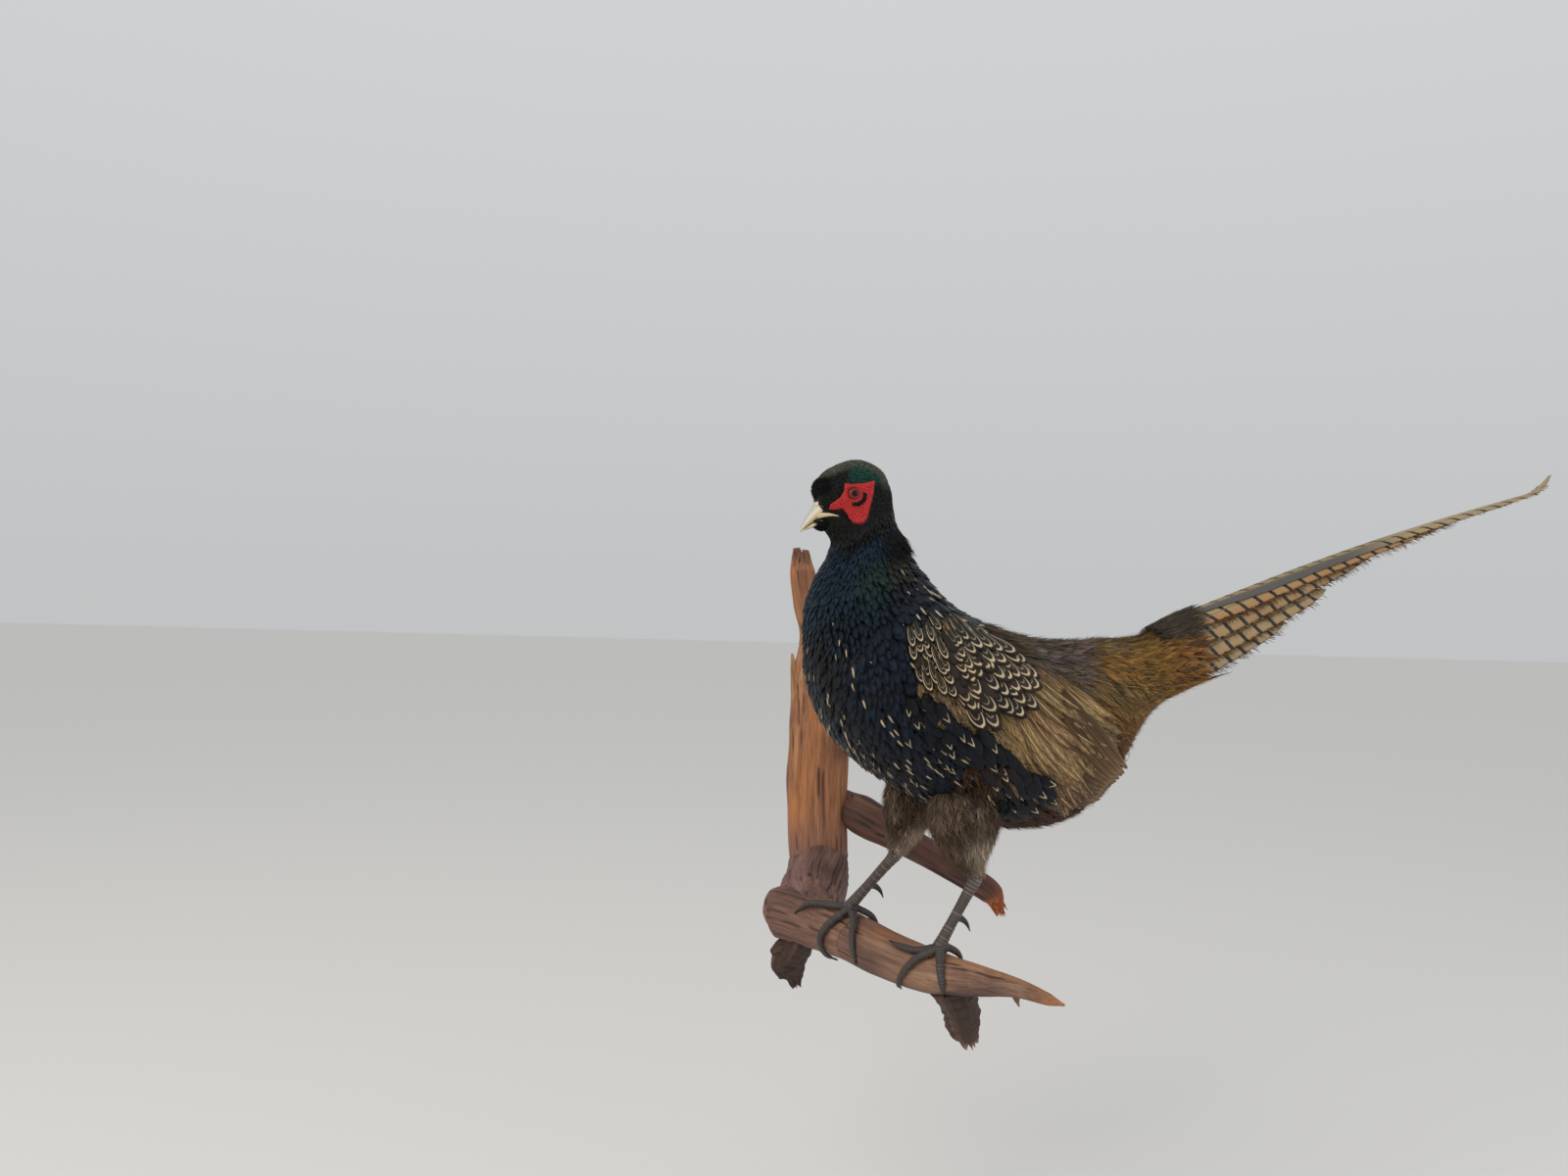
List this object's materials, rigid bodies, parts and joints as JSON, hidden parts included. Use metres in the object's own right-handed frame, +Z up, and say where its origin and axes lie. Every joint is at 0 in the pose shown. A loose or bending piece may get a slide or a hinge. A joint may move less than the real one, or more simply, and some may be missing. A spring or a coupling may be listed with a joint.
{
  "type": "taxidermy cock pheasant on driftwood wall mount",
  "caption": "Dark cock pheasant standing on a driftwood log whose upright post hangs flat on a wall, head turned, long barred tail raised.",
  "frame": {"origin": "on the wall, at the flat back face of the driftwood post, about halfway up the whole mount", "axes": "+X to the right along the wall, towards the tail; +Y into the wall; +Z up"},
  "size_m": [0.7357, 0.3145, 0.4783],
  "materials": {
    "black_plumage": "dark green and blue gloss over black feathers",
    "brown_plumage": "matt brown and tan feathers with pale shafts",
    "thigh_down": "soft loose down, grey brown",
    "tail_plumage": "tan and grey tail feathers with narrow black bars",
    "bill_horn": "ivory horn, satin",
    "glass_eye": "dark glass eye, polished",
    "wattle_skin": "bright red granular skin",
    "leg_scales": "grey brown scaly skin, dry",
    "claw_horn": "dark horn, satin",
    "driftwood": "weathered orange brown driftwood with open grain",
    "driftwood_bark": "worn mauve brown bark and dark broken root"
  },
  "bodies": {
    "root": {"trunk": "black_plumage", "neck": "black_plumage", "head": "black_plumage", "upper_bill": "bill_horn", "lower_bill": "bill_horn", "eye_left": "glass_eye", "wattle_left": "wattle_skin", "gape_left": "bill_horn", "wing_left": "brown_plumage", "thigh_left": "thigh_down", "shank_left": "leg_scales", "spur_left": "claw_horn", "foot_left": "leg_scales", "tail_feather_1_left": "tail_plumage", "tail_feather_2_left": "tail_plumage", "tail_feather_3_left": "tail_plumage", "tail_feather_4_left": "tail_plumage", "tail_feather_5_left": "tail_plumage", "tail_feather_6_left": "tail_plumage", "tail_feather_7_left": "tail_plumage", "tail_feather_8_left": "tail_plumage", "tail_feather_9_left": "tail_plumage", "eye_right": "glass_eye", "wattle_right": "wattle_skin", "gape_right": "bill_horn", "wing_right": "brown_plumage", "thigh_right": "thigh_down", "shank_right": "leg_scales", "spur_right": "claw_horn", "foot_right": "leg_scales", "tail_feather_1_right": "tail_plumage", "tail_feather_2_right": "tail_plumage", "tail_feather_3_right": "tail_plumage", "tail_feather_4_right": "tail_plumage", "tail_feather_5_right": "tail_plumage", "tail_feather_6_right": "tail_plumage", "tail_feather_7_right": "tail_plumage", "tail_feather_8_right": "tail_plumage", "tail_feather_9_right": "tail_plumage", "upper_tail_coverts": "brown_plumage", "under_tail_coverts": "brown_plumage", "post": "driftwood", "knob": "driftwood_bark", "perch": "driftwood", "side_branch": "driftwood", "snag": "driftwood_bark", "stub": "driftwood_bark"}
  },
  "joints": []
}
